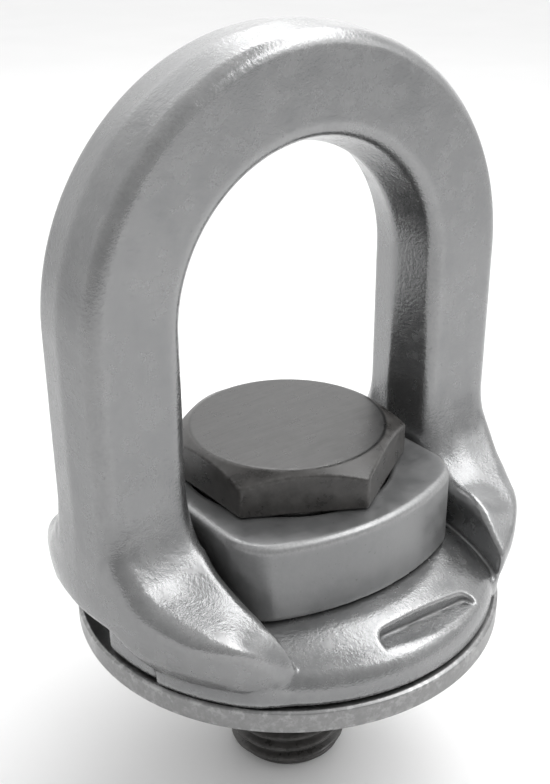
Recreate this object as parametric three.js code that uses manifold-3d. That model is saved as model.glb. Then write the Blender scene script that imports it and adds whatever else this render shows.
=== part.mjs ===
// Swivelling lifting eye ("anchor swivel") for an M22 deck or frame thread.
// Millimetres, +Z up. The origin is on the swivel axis, at the underside of the base disc, which is
// the face that seats on the deck. The eye stands in the XZ plane, its legs at -X and +X.
import * as THREE from 'three';
import { mergeVertices } from 'three/addons/utils/BufferGeometryUtils.js';
import Module from 'manifold-3d';

const wasm = await Module();
wasm.setup();
const { Manifold } = wasm;

// ---- driving dimensions ----

const TURN = Math.PI * 2;
const FIT_GAP = 0.05;

// base disc
const DISC_R = 37.8;
const DISC_H = 3.95;
const DISC_CHAMFER = 0.5;
const DISC_BORE_R = 12.7;
const DISC_RECESS_R = 14.6;
const DISC_RECESS_H = 2.0;

// eye: base annulus
const BASE_Z = 4.7;
const BASE_R = 36.8;
const RIM_Z = 7.6;
const SHOULDER_R = 35.0;
const SHOULDER_Z = 9.5;
const CROWN_R = 31.0;
const CROWN_Z = 11.8;
const FLAT_R = 28.0;
const FLAT_Z = 12.8;
const SEAT_R = 25.0;
const SEAT_Z = 13.1;
const EYE_BORE_R = 18.7;
const NUT_POCKET_R = 23.6;
const NUT_POCKET_Z = 8.9;
const GLIDE_INNER_R = 25.1;
const GLIDE_OUTER_R = 29.1;
const GLIDE_TOP_Z = 5.95;
const SEAL_R = 31.5;
const SEAL_SECTION_R = 0.8;
const GROOVE_CLEARANCE = 0.2;

// eye: bow and legs
const BOW_Z = 59.5;
const BOW_R = 32.4;
const LEG_BOTTOM_Z = 9.0;
const HALF_THICKNESS = 8.0;
const BOW_STEPS = 52;

// eye: feet
const FOOT_R = 41.7;
const FOOT_BULGE_Z = 15.0;
const FOOT_TIP_Y = 30.6;
const FOOT_TIP_Z = 11.0;
const FLANK_TOP_Y = 7.8;
const FLANK_TOP_Z = 35.0;
const FOOT_CORNER_X = 34.0;
const FOOT_CORNER_Y = 23.6;
const FOOT_END_X = 22.6;
const FOOT_END_Y = 30.4;
const FOOT_INNER_X = 24.3;
const FOOT_INNER_Y = 20.0;
const FOOT_TIP_X = 23.3;
const LEG_INNER_X = 28.7;
const WAY_LEAN_Z = 22.0;
const WAY_TOP_Z = 33.0;
const FOOT_TURN_DEGREES = 4.5;
const RELIEF_HALF_WIDTH = 11.8;
const RELIEF_TOP_Z = 14.6;
const RELIEF_X = 36.6;
const RELIEF_CORNER = 6.0;
const NOTCH_HALF_WIDTH = 5.8;
const NOTCH_TOP_Z = 14.4;
const NOTCH_X = 34.4;
const NOTCH_CORNER = 2.5;
const NOTCH_CENTRE_Y = 6.0;

// obround recess in the front of the base
const RECESS_X = 4.2;
const RECESS_Y = -32.5;
const RECESS_LENGTH = 21.0;
const RECESS_WIDTH = 4.2;
const RECESS_FLOOR_Z = 9.4;

// bearing collar
const COLLAR_Z = 13.4;
const COLLAR_TOP_Z = 27.0;
const COLLAR_HALF_WIDTH = 22.7;
const COLLAR_FRONT_Y = 24.5;
const COLLAR_FRONT_R = 45.0;
const COLLAR_CORNER = 4.5;
const COLLAR_EDGE = 1.0;
const SPIGOT_R = 18.4;
const SPIGOT_Z = 5.3;
const SPIGOT_BORE_R = 15.0;
const COUNTERBORE_R = 17.9;
const COUNTERBORE_Z = 17.35;

// thrust bearing
const BALL_COUNT = 18;
const BALL_R = 1.5875;
const BALL_PITCH_R = 15.6;
const BALL_Z = 20.6;
const CAGE_H = 1.6;
const CAGE_HALF_WIDTH = 2.25;
const POCKET_CLEARANCE = 0.15;

// centre bolt
const THREAD_R = 11.0;
const THREAD_ROOT_R = 9.6;
const THREAD_PITCH = 2.5;
const THREAD_TOP_Z = -0.6;
const BOLT_END_Z = -33.1;
const HEAD_Z = 27.3;
const HEAD_TOP_Z = 34.8;
const HEAD_ACROSS_FLATS = 36.0;
const HEAD_FACE_R = 16.85;
const HEAD_TURN = THREE.MathUtils.degToRad(1);

// flanged bush
const BUSH_BORE_R = 11.3;
const BUSH_R = 13.0;
const BUSH_SPIGOT_R = 12.6;
const BUSH_FLANGE_R = 17.3;
const BUSH_FLANGE_Z = 24.3;
const BUSH_END_Z = 0.3;
const SNAP_GROOVE_Z = 0.7;
const SNAP_GROOVE_TOP_Z = 1.8;
const SNAP_GROOVE_DEPTH = 0.6;

// keeper ring: half in a groove of the bolt, half in a wider room in the bush
const KEEPER_Z = 12.6;
const KEEPER_H = 1.6;
const KEEPER_GROOVE_DEPTH = 0.9;
const KEEPER_ROOM_DEPTH = 0.95;
const KEEPER_ROOM_H = 2.8;

// ---- materials ----

function metal(name, colour, roughness, metalness) {
  return new THREE.MeshStandardMaterial({ name, color: colour, roughness, metalness });
}

const forgedSteel = metal('forged_steel', 0x9a9c9f, 0.45, 0.85);
const discSteel = metal('disc_steel', 0x8d8f92, 0.5, 0.85);
const blackBolt = metal('black_bolt', 0x363334, 0.5, 0.7);
const bearingSteel = metal('bearing_steel', 0xc4c8cc, 0.2, 1.0);
const hardenedBush = metal('hardened_bush', 0x6f7276, 0.4, 0.9);
const bronze = metal('bronze', 0xb08a4a, 0.4, 0.9);
const springSteel = metal('spring_steel', 0x55585c, 0.4, 0.9);
const sealRubber = metal('seal_rubber', 0x1d1e20, 0.8, 0.0);
const glidePolymer = metal('glide_polymer', 0xd9d6c8, 0.6, 0.0);

// ---- geometry helpers ----

// A closed three.js geometry as a manifold solid, with its shared vertices merged.
function solid(geometry) {
  const bare = geometry.clone();
  bare.deleteAttribute('normal');
  bare.deleteAttribute('uv');
  const merged = mergeVertices(bare, 1e-4);
  const corners = merged.index.array;
  const kept = [];
  for (let i = 0; i < corners.length; i += 3) {
    const [a, b, c] = [corners[i], corners[i + 1], corners[i + 2]];
    if (a !== b && b !== c && c !== a) {
      kept.push(a, b, c);
    }
  }
  return new Manifold(new wasm.Mesh({
    numProp: 3,
    vertProperties: new Float32Array(merged.attributes.position.array),
    triVerts: new Uint32Array(kept),
  }));
}

function toGeometry(body) {
  const { vertProperties, triVerts } = body.getMesh();
  const geometry = new THREE.BufferGeometry();
  geometry.setAttribute('position', new THREE.BufferAttribute(vertProperties, 3));
  geometry.setIndex(new THREE.BufferAttribute(triVerts, 1));
  geometry.computeVertexNormals();
  return geometry;
}

// A profile of [radius, height] points turned about the Z axis. A ring's profile is closed here,
// and every profile is put in the order that makes its faces point out.
function turned(profile, segments = 40) {
  const loop = profile.map(([radius, height]) => new THREE.Vector2(radius, height));
  if (THREE.ShapeUtils.isClockWise(loop)) {
    loop.reverse();
  }
  const onAxis = loop.findIndex((point, i) => point.x === 0 && loop.at(i - 1).x === 0);
  if (onAxis >= 0) {
    loop.unshift(...loop.splice(onAxis));
  } else {
    loop.push(loop[0].clone());
  }
  return solid(new THREE.LatheGeometry(loop, segments).rotateX(Math.PI / 2));
}

// A ring of rectangular section.
function washer(innerR, outerR, bottom, top, segments = 40) {
  return turned([[innerR, bottom], [outerR, bottom], [outerR, top], [innerR, top]], segments);
}

// A plain round plug.
function plug(radius, bottom, top, segments = 40) {
  return turned([[0, bottom], [radius, bottom], [radius, top], [0, top]], segments);
}

// A ring of round section.
function torus(ringR, sectionR, centreZ) {
  return solid(new THREE.TorusGeometry(ringR, sectionR, 8, 40).translate(0, 0, centreZ));
}

function polygon(points) {
  return new THREE.Shape(points.map(([x, y]) => new THREE.Vector2(x, y)));
}

// An XY outline raised from one height to another.
function prism(outline, bottom, top, curveSegments = 12) {
  const geometry = new THREE.ExtrudeGeometry(outline, {
    depth: top - bottom,
    bevelEnabled: false,
    curveSegments,
  });
  return solid(geometry.translate(0, 0, bottom));
}

// An outline drawn with Y across and Z up, run along X from one station to another.
function sideways(outline, from, to) {
  const geometry = new THREE.ExtrudeGeometry(outline, { depth: to - from, bevelEnabled: false });
  geometry.rotateZ(Math.PI / 2).rotateY(Math.PI / 2);
  return solid(geometry.translate(from, 0, 0));
}

// ---- eye ----

// The centre line of the bow: up the -X leg, over the half circle and down the +X leg.
class BowLine extends THREE.Curve {
  getPoint(t, target = new THREE.Vector3()) {
    const legRun = BOW_Z - LEG_BOTTOM_Z;
    const bowRun = Math.PI * BOW_R;
    const run = t * (2 * legRun + bowRun);
    if (run < legRun) {
      return target.set(-BOW_R, 0, LEG_BOTTOM_Z + run);
    }
    if (run > legRun + bowRun) {
      return target.set(BOW_R, 0, BOW_Z - (run - legRun - bowRun));
    }
    const angle = Math.PI - (run - legRun) / BOW_R;
    return target.set(BOW_R * Math.cos(angle), 0, BOW_Z + BOW_R * Math.sin(angle));
  }
}

// Half of the forged section, from the outer parting line to the inner one, as [outwards from the
// centre line, across the thickness]. The other half is its mirror image. The bow's curve is swept
// with its frame's first direction across the thickness and its second one inwards.
function bowSection() {
  const half = [
    [8.9, 0],
    [8.3, 6.0],
    [7.7, 7.4],
    [6.4, HALF_THICKNESS],
    [-5.2, HALF_THICKNESS],
    [-6.5, 7.2],
    [-7.4, 5.2],
    [-8.9, 0],
  ];
  const mirrored = half.slice(1, -1).reverse().map(([outwards, across]) => [outwards, -across]);
  return polygon([...half, ...mirrored].map(([outwards, across]) => [across, -outwards]));
}

function bow() {
  return solid(new THREE.ExtrudeGeometry(bowSection(), {
    steps: BOW_STEPS,
    extrudePath: new BowLine(),
    bevelEnabled: false,
  }));
}

// The round swell of both feet, before their flanks are cut.
function footSwell() {
  return turned([
    [0, BASE_Z],
    [BASE_R, BASE_Z],
    [BASE_R + 0.5, 6.4],
    [39.0, 8.8],
    [40.9, 11.8],
    [FOOT_R, FOOT_BULGE_Z],
    [FOOT_R, 22],
    [FOOT_R - 0.8, 35],
    [0, 35],
  ], 72);
}

// Height of the foot's flank over its distance from the leg's middle plane.
const FLANK = [
  [29.0, 12.0],
  [26.6, 16.2],
  [23.5, 18.8],
  [19.0, 20.2],
  [14.5, 22.3],
  [11.4, 25.2],
  [9.2, 29.4],
  [FLANK_TOP_Y, FLANK_TOP_Z],
];

// The buttress seen along X: a leg spreads forwards and backwards in a hollow curve down to the rim.
function buttress() {
  const outline = new THREE.Shape();
  outline.moveTo(-FOOT_TIP_Y, BASE_Z);
  outline.lineTo(FOOT_TIP_Y, BASE_Z);
  outline.lineTo(FOOT_TIP_Y, FOOT_TIP_Z);
  outline.splineThru(FLANK.map(([y, z]) => new THREE.Vector2(y, z)));
  outline.lineTo(-FLANK_TOP_Y, FLANK_TOP_Z);
  outline.splineThru(FLANK.slice(0, -1).reverse().map(([y, z]) => new THREE.Vector2(-y, z)));
  outline.lineTo(-FOOT_TIP_Y, FOOT_TIP_Z);
  return sideways(outline, -50, 50);
}

// Plan of the feet's outer edge: full radius beside the legs, drawn in to the rim at the tips.
function footPlan() {
  const wide = FOOT_R + 3;
  const straight = FOOT_CORNER_Y - 8;
  return prism(polygon([
    [wide, -straight],
    [wide, straight],
    [FOOT_CORNER_X, FOOT_CORNER_Y],
    [FOOT_END_X, FOOT_END_Y],
    [-FOOT_END_X, FOOT_END_Y],
    [-FOOT_CORNER_X, FOOT_CORNER_Y],
    [-wide, straight],
    [-wide, -straight],
    [-FOOT_CORNER_X, -FOOT_CORNER_Y],
    [-FOOT_END_X, -FOOT_END_Y],
    [FOOT_END_X, -FOOT_END_Y],
    [FOOT_CORNER_X, -FOOT_CORNER_Y],
  ]), BASE_Z - 1, FLANK_TOP_Z + 1);
}

// The way between the feet that the collar drops into.
function collarWay() {
  return prism(polygon([
    [FOOT_INNER_X, -FOOT_INNER_Y],
    [FOOT_INNER_X, FOOT_INNER_Y],
    [FOOT_TIP_X, BASE_R],
    [-FOOT_TIP_X, BASE_R],
    [-FOOT_INNER_X, FOOT_INNER_Y],
    [-FOOT_INNER_X, -FOOT_INNER_Y],
    [-FOOT_TIP_X, -BASE_R],
    [FOOT_TIP_X, -BASE_R],
  ]), SHOULDER_Z - 0.5, FLANK_TOP_Z + 1);
}

// An arched cut under both legs, above the disc, from fromX outwards. It is centred centreY behind
// the -X leg's middle plane and centreY in front of the +X leg's.
function arch(halfWidth, top, corner, fromX, centreY = 0) {
  const reach = FOOT_R + 4;
  const outline = new THREE.Shape();
  outline.moveTo(-halfWidth, BASE_Z - 2);
  outline.lineTo(halfWidth, BASE_Z - 2);
  outline.lineTo(halfWidth, top - corner);
  outline.absarc(halfWidth - corner, top - corner, corner, 0, Math.PI / 2, false);
  outline.absarc(corner - halfWidth, top - corner, corner, Math.PI / 2, Math.PI, false);
  const left = sideways(outline, -reach, -fromX).translate(0, centreY, 0);
  const right = sideways(outline, fromX, reach).translate(0, -centreY, 0);
  return left.add(right);
}

// The hollow above the collar way, where the inner faces of the feet lean out to the legs.
function legWay() {
  const top = FLANK_TOP_Z + 1;
  const outline = polygon([
    [-FOOT_INNER_X, WAY_LEAN_Z],
    [FOOT_INNER_X, WAY_LEAN_Z],
    [LEG_INNER_X, WAY_TOP_Z],
    [LEG_INNER_X, top],
    [-LEG_INNER_X, top],
    [-LEG_INNER_X, WAY_TOP_Z],
  ]);
  const reach = FOOT_R + 4;
  const geometry = new THREE.ExtrudeGeometry(outline, { depth: 2 * reach, bevelEnabled: false });
  return solid(geometry.rotateX(Math.PI / 2).translate(0, reach, 0));
}

function recessCutter() {
  const half = (RECESS_LENGTH - RECESS_WIDTH) / 2;
  const end = RECESS_WIDTH / 2;
  const outline = new THREE.Shape();
  outline.moveTo(RECESS_X - half, RECESS_Y - end);
  outline.lineTo(RECESS_X + half, RECESS_Y - end);
  outline.absarc(RECESS_X + half, RECESS_Y, end, -Math.PI / 2, Math.PI / 2, false);
  outline.lineTo(RECESS_X - half, RECESS_Y + end);
  outline.absarc(RECESS_X - half, RECESS_Y, end, Math.PI / 2, Math.PI * 1.5, false);
  return prism(outline, RECESS_FLOOR_Z, 20, 8);
}

function eyeRing() {
  const annulus = turned([
    [EYE_BORE_R, BASE_Z],
    [BASE_R, BASE_Z],
    [BASE_R, RIM_Z],
    [BASE_R - 0.5, RIM_Z + 1.1],
    [SHOULDER_R, SHOULDER_Z],
    [CROWN_R, CROWN_Z],
    [FLAT_R, FLAT_Z],
    [SEAT_R, SEAT_Z],
    [EYE_BORE_R, SEAT_Z],
  ], 72);
  const feet = footSwell()
    .intersect(buttress())
    .intersect(footPlan().rotate(0, 0, FOOT_TURN_DEGREES))
    .subtract(collarWay().rotate(0, 0, FOOT_TURN_DEGREES))
    .subtract(legWay())
    .subtract(plug(SHOULDER_R - 2, BASE_Z - 1, SHOULDER_Z));
  const nutPocket = washer(EYE_BORE_R - 2, NUT_POCKET_R, BASE_Z - 1, NUT_POCKET_Z);
  const glideGroove = washer(
    GLIDE_INNER_R - GROOVE_CLEARANCE,
    GLIDE_OUTER_R + GROOVE_CLEARANCE,
    BASE_Z - 1,
    GLIDE_TOP_Z + FIT_GAP,
  );
  const sealGroove = washer(
    SEAL_R - SEAL_SECTION_R - GROOVE_CLEARANCE,
    SEAL_R + SEAL_SECTION_R + GROOVE_CLEARANCE,
    BASE_Z - 1,
    BASE_Z + 1.1,
  );
  const legs = bow().subtract(plug(EYE_BORE_R + 8, 0, SEAT_Z));
  return annulus.add(feet).add(legs)
    .subtract(nutPocket)
    .subtract(glideGroove)
    .subtract(sealGroove)
    .subtract(arch(RELIEF_HALF_WIDTH, RELIEF_TOP_Z, RELIEF_CORNER, RELIEF_X))
    .subtract(arch(NOTCH_HALF_WIDTH, NOTCH_TOP_Z, NOTCH_CORNER, NOTCH_X, NOTCH_CENTRE_Y))
    .subtract(recessCutter());
}

// ---- collar and its nut ----

// Plan of the collar: two flats facing the legs, two crowned faces and rounded corners.
function collarOutline(inset) {
  const frontR = COLLAR_FRONT_R - inset;
  const halfWidth = COLLAR_HALF_WIDTH - inset;
  const centreY = COLLAR_FRONT_R - COLLAR_FRONT_Y;
  const reach = Math.asin((halfWidth - COLLAR_CORNER) / frontR);
  const cornerY = frontR * Math.cos(Math.asin(halfWidth / frontR)) - centreY;
  const outline = new THREE.Shape();
  outline.absarc(0, centreY, frontR, -Math.PI / 2 - reach, -Math.PI / 2 + reach, false);
  outline.quadraticCurveTo(halfWidth, -cornerY, halfWidth, -cornerY + COLLAR_CORNER);
  outline.lineTo(halfWidth, cornerY - COLLAR_CORNER);
  outline.absarc(0, -centreY, frontR, Math.PI / 2 - reach, Math.PI / 2 + reach, false);
  outline.quadraticCurveTo(-halfWidth, cornerY, -halfWidth, cornerY - COLLAR_CORNER);
  outline.lineTo(-halfWidth, -cornerY + COLLAR_CORNER);
  return outline;
}

function collar() {
  const block = new THREE.ExtrudeGeometry(collarOutline(COLLAR_EDGE), {
    depth: COLLAR_TOP_Z - COLLAR_Z - COLLAR_EDGE,
    bevelThickness: COLLAR_EDGE,
    bevelSize: COLLAR_EDGE,
    bevelSegments: 2,
    curveSegments: 12,
  });
  block.translate(0, 0, COLLAR_Z);
  return solid(block)
    .subtract(plug(40, COLLAR_Z - 3, COLLAR_Z))
    .add(plug(SPIGOT_R, SPIGOT_Z, COLLAR_Z + 1))
    .subtract(plug(SPIGOT_BORE_R, 0, 40))
    .subtract(plug(COUNTERBORE_R, COUNTERBORE_Z, 40));
}

// ---- bolt and bush ----

function threadProfile() {
  const points = [];
  const turns = Math.floor((THREAD_TOP_Z - BOLT_END_Z - 1.5) / THREAD_PITCH);
  for (let i = 0; i < turns; i += 1) {
    const start = THREAD_TOP_Z - i * THREAD_PITCH;
    points.push([THREAD_ROOT_R, start - THREAD_PITCH * 0.5]);
    points.push([THREAD_R, start - THREAD_PITCH * 0.92]);
    points.push([THREAD_R, start - THREAD_PITCH]);
  }
  return points;
}

function centreBolt() {
  const keeperTop = KEEPER_Z + KEEPER_H / 2 + 0.2;
  const keeperBottom = KEEPER_Z - KEEPER_H / 2 - 0.2;
  const shank = turned([
    [0, HEAD_Z + 1],
    [THREAD_R, HEAD_Z + 1],
    [THREAD_R, keeperTop],
    [THREAD_R - KEEPER_GROOVE_DEPTH, keeperTop],
    [THREAD_R - KEEPER_GROOVE_DEPTH, keeperBottom],
    [THREAD_R, keeperBottom],
    [THREAD_R, THREAD_TOP_Z],
    ...threadProfile(),
    [THREAD_R, BOLT_END_Z + 1.6],
    [THREAD_ROOT_R, BOLT_END_Z],
    [0, BOLT_END_Z],
  ], 28);
  const cornerR = HEAD_ACROSS_FLATS / Math.sqrt(3);
  const hexagon = new THREE.CylinderGeometry(cornerR, cornerR, HEAD_TOP_Z - HEAD_Z, 6);
  hexagon.rotateX(Math.PI / 2).rotateZ(HEAD_TURN);
  hexagon.translate(0, 0, (HEAD_TOP_Z + HEAD_Z) / 2);
  const chamferDrop = (cornerR + 1 - HEAD_FACE_R) * Math.tan(Math.PI / 6);
  const envelope = turned([
    [0, HEAD_Z],
    [cornerR + 1, HEAD_Z],
    [cornerR + 1, HEAD_TOP_Z - chamferDrop],
    [HEAD_FACE_R, HEAD_TOP_Z],
    [0, HEAD_TOP_Z],
  ], 72);
  return solid(hexagon).intersect(envelope).add(shank);
}

function bush() {
  const keeperRoomR = BUSH_BORE_R + KEEPER_ROOM_DEPTH;
  return turned([
    [BUSH_BORE_R, BUSH_END_Z],
    [BUSH_SPIGOT_R, BUSH_END_Z],
    [BUSH_SPIGOT_R, SNAP_GROOVE_Z],
    [BUSH_SPIGOT_R - SNAP_GROOVE_DEPTH, SNAP_GROOVE_Z],
    [BUSH_SPIGOT_R - SNAP_GROOVE_DEPTH, SNAP_GROOVE_TOP_Z],
    [BUSH_SPIGOT_R, SNAP_GROOVE_TOP_Z],
    [BUSH_SPIGOT_R, DISC_H + FIT_GAP],
    [BUSH_R, DISC_H + FIT_GAP],
    [BUSH_R, BUSH_FLANGE_Z],
    [BUSH_FLANGE_R, BUSH_FLANGE_Z],
    [BUSH_FLANGE_R, HEAD_Z - FIT_GAP],
    [BUSH_BORE_R, HEAD_Z - FIT_GAP],
    [BUSH_BORE_R, KEEPER_Z + KEEPER_ROOM_H / 2],
    [keeperRoomR, KEEPER_Z + KEEPER_ROOM_H / 2],
    [keeperRoomR, KEEPER_Z - KEEPER_ROOM_H / 2],
    [BUSH_BORE_R, KEEPER_Z - KEEPER_ROOM_H / 2],
  ]);
}

// ---- thrust bearing ----

function ballCage() {
  let cage = washer(
    BALL_PITCH_R - CAGE_HALF_WIDTH,
    BALL_PITCH_R + CAGE_HALF_WIDTH,
    BALL_Z - CAGE_H / 2,
    BALL_Z + CAGE_H / 2,
    54,
  );
  const pocketR = BALL_R + POCKET_CLEARANCE;
  for (let i = 0; i < BALL_COUNT; i += 1) {
    const angle = (i / BALL_COUNT) * TURN;
    const pocket = new THREE.CylinderGeometry(pocketR, pocketR, CAGE_H + 2, 10);
    pocket.rotateX(Math.PI / 2);
    pocket.translate(BALL_PITCH_R * Math.cos(angle), BALL_PITCH_R * Math.sin(angle), BALL_Z);
    cage = cage.subtract(solid(pocket));
  }
  return cage;
}

// ---- assembly ----

const group = new THREE.Group();
const eyeGroup = new THREE.Group();
const seatGroup = new THREE.Group();
const trainGroup = new THREE.Group();
const boltGroup = new THREE.Group();
group.add(seatGroup, eyeGroup, trainGroup, boltGroup);

function add(parent, name, body, material) {
  const mesh = new THREE.Mesh(toGeometry(body), material);
  mesh.name = name;
  parent.add(mesh);
  return mesh;
}

// what stays clamped to the deck
add(seatGroup, 'base_disc', turned([
  [DISC_BORE_R, DISC_RECESS_H],
  [DISC_RECESS_R, DISC_RECESS_H],
  [DISC_RECESS_R, 0],
  [DISC_R - DISC_CHAMFER, 0],
  [DISC_R, DISC_CHAMFER],
  [DISC_R, DISC_H - DISC_CHAMFER],
  [DISC_R - DISC_CHAMFER, DISC_H],
  [DISC_BORE_R, DISC_H],
], 72), discSteel);
add(seatGroup, 'flanged_bush', bush(), hardenedBush);
const snapRing = washer(
  BUSH_SPIGOT_R - SNAP_GROOVE_DEPTH + FIT_GAP * 2,
  DISC_RECESS_R - 0.6,
  SNAP_GROOVE_Z + FIT_GAP,
  SNAP_GROOVE_TOP_Z - FIT_GAP,
);
add(seatGroup, 'disc_snap_ring', snapRing, springSteel);
const upperRaceZ = BALL_Z + BALL_R + FIT_GAP;
const upperRace = washer(BUSH_R + FIT_GAP, BUSH_FLANGE_R, upperRaceZ, BUSH_FLANGE_Z - FIT_GAP);
add(seatGroup, 'upper_race', upperRace, bearingSteel);

// what turns with the eye
add(eyeGroup, 'eye_ring', eyeRing(), forgedSteel);
add(eyeGroup, 'bearing_collar', collar(), forgedSteel);
const nut = washer(SPIGOT_R + FIT_GAP, NUT_POCKET_R - 0.4, SPIGOT_Z, NUT_POCKET_Z - FIT_GAP);
add(eyeGroup, 'collar_nut', nut, hardenedBush);
const liner = washer(BUSH_R + FIT_GAP, SPIGOT_BORE_R - FIT_GAP, SPIGOT_Z, COUNTERBORE_Z - FIT_GAP);
add(eyeGroup, 'collar_liner', liner, bronze);
const lowerRaceTop = BALL_Z - BALL_R - FIT_GAP;
const lowerRace = washer(BUSH_R + 0.4, COUNTERBORE_R - FIT_GAP, COUNTERBORE_Z, lowerRaceTop);
add(eyeGroup, 'lower_race', lowerRace, bearingSteel);
const glideRing = washer(GLIDE_INNER_R, GLIDE_OUTER_R, DISC_H + FIT_GAP, GLIDE_TOP_Z);
add(eyeGroup, 'glide_ring', glideRing, glidePolymer);
const seal = torus(SEAL_R, SEAL_SECTION_R, DISC_H + SEAL_SECTION_R + GROOVE_CLEARANCE / 2);
add(eyeGroup, 'base_seal', seal, sealRubber);

// the ball train, which rolls round at half the eye's speed
add(trainGroup, 'ball_cage', ballCage(), bronze);
for (let i = 0; i < BALL_COUNT; i += 1) {
  const angle = (i / BALL_COUNT) * TURN;
  const ball = solid(new THREE.SphereGeometry(BALL_R, 10, 7).rotateX(Math.PI / 2));
  const mesh = add(trainGroup, `ball_${String(i + 1).padStart(2, '0')}`, ball, bearingSteel);
  mesh.position.set(BALL_PITCH_R * Math.cos(angle), BALL_PITCH_R * Math.sin(angle), BALL_Z);
}

// the bolt and the ring that keeps it in the bush
add(boltGroup, 'centre_bolt', centreBolt(), blackBolt);
const keeperRing = washer(
  THREAD_R - KEEPER_GROOVE_DEPTH + FIT_GAP * 3,
  BUSH_BORE_R + KEEPER_ROOM_DEPTH - 0.3,
  KEEPER_Z - KEEPER_H / 2,
  KEEPER_Z + KEEPER_H / 2,
);
add(boltGroup, 'bolt_keeper_ring', keeperRing, springSteel);

export default group;
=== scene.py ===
"""Looks of the swivelling lifting eye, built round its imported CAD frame. Blender 4.5, metres, +Z up.

The eye, the collar, the bolt head, the nut, the cage and the split rings are fine meshes of rounded
implicit solids. The bolt has a real helical thread, the balls are fine spheres, and the rest are
outlines turned about the swivel axis. Sizes are in millimetres, as in the CAD source.
"""
import itertools
import math

import bmesh
import bpy
import numpy as np
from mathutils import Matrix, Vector


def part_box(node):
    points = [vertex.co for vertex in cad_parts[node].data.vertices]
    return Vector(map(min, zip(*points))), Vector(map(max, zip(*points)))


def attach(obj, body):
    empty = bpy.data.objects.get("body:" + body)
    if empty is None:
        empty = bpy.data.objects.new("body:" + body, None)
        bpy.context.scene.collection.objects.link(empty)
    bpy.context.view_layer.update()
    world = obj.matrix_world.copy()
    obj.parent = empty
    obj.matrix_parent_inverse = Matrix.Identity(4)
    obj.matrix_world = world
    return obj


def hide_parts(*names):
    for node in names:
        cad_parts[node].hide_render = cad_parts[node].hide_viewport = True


MM = 0.001
TURN = 2 * math.pi

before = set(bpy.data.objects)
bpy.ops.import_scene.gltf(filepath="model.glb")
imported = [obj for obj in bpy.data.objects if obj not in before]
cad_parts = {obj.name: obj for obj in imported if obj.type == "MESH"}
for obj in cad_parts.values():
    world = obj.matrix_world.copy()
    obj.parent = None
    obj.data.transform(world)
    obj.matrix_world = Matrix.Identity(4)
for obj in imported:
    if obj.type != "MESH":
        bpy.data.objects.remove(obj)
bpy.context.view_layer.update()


def box_mm(node):
    """Lowest and highest corner of a CAD node, in millimetres."""
    low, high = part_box(node)
    return np.array(low) / MM, np.array(high) / MM


# ---- places read from the frame ----

EYE_LOW, EYE_HIGH = box_mm("eye_ring")
COLLAR_LOW, COLLAR_HIGH = box_mm("bearing_collar")
DISC_HIGH = box_mm("base_disc")[1]
BOLT_LOW, BOLT_HIGH = box_mm("centre_bolt")
NUT_LOW, NUT_HIGH = box_mm("collar_nut")

# ---- driving dimensions of the forged eye ----

BASE_R = 36.8
BASE_Z = EYE_LOW[2]
BASE_SHOULDER = 1.8
SEAT_Z = 13.1
EYE_BORE_R = 18.7
BORE_END_Z = SEAT_Z + 4
NUT_POCKET_R = 23.6
NUT_POCKET_Z = 8.9
GLIDE_GROOVE_R = 27.1
GLIDE_GROOVE_HALF = 2.2
GLIDE_GROOVE_Z = 6.0
SEAL_R = 31.5
SEAL_GROOVE_HALF = 1.0
SEAL_GROOVE_Z = 5.8

# the forged section of the bow: its sides draft away from a parting ridge, outside and inside
HALF_THICKNESS = 8.0
BOW_Z = 59.5
BOW_R = 32.4
OUTER_RISE = 9.0
OUTER_DRAFT = math.radians(6.8)
OUTER_EDGE = 2.3
INNER_RISE = 9.1
INNER_DRAFT = math.radians(16.7)
INNER_EDGE = 1.9
RIDGE_ROUNDING = 0.5
LEG_END_Z = 12

# the feet, turned a little towards the tips where X and Y have the same sign; pairs of reaches give
# those tips first and the other two second
FOOT_INNER_X = 24.3
FOOT_TURN = math.radians(4.5)
FOOT_TURN_Y = 12
FOOT_TURN_SPAN = 12
FLANK_NORMAL = (0.532, 0.847)
FLANK_REACH = (38.4, 38.8)
FLANK_CORNER = 2.5
TIP_NORMAL = (0.11, 0.994)
TIP_REACH = (29.4, 32.6)
TIP_CORNER = 3.0
RIDGE_OFFSET = 8
WAY_LEAN = 0.4
WAY_LEAN_Z = 24
WAY_LEAN_SCALE = 0.96
TIP_LEAN = 0.4
TIP_LEAN_Y = 22
SHARP_Y = 19
SHARP_SPAN = 7
TOP_EDGE = 2.6
TOP_EDGE_LOSS = 1.8
WAY_EDGE = 2.3
WAY_EDGE_LOSS = 1.5

# fillets between legs, feet and base: thin everywhere, thicker inside the outline and low on the rim
FILLET = 0.6
FOOT_R = 41.4
LEG_FILLET_GAIN = 2.8
LEG_FILLET_DEPTH = 4
RIM_FILLET_GAIN = 1.8
RIM_FILLET_R = 35.5
RIM_FILLET_SPAN = 1.5
RIM_FILLET_Z = 9.5
RIM_FILLET_FALL = 2

# the underside's step, the arched relief and the notch under each leg, and the oblong recess in front
STEP_R = 33
STEP_H = 0.4
STEP_EDGE = 0.35
RELIEF_HALF_WIDTH = 11.8
RELIEF_TOP_Z = 14.6
RELIEF_CORNER = 6.0
RELIEF_R = 36.9
NOTCH_Y = 6.0
NOTCH_HALF_WIDTH = 5.8
NOTCH_TOP_Z = 14.4
NOTCH_CORNER = 2.5
NOTCH_R = 35.0
RELIEF_EDGE = 0.6
RECESS_X = 4.2
RECESS_Y = -32.5
RECESS_HALF_LENGTH = 8.4
RECESS_END_R = 2.1
RECESS_FLOOR_Z = 9.5
RECESS_FLOOR_TILT = 0.06
MACHINED_EDGE = 0.4

# ---- driving dimensions of the other pieces ----

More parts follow.
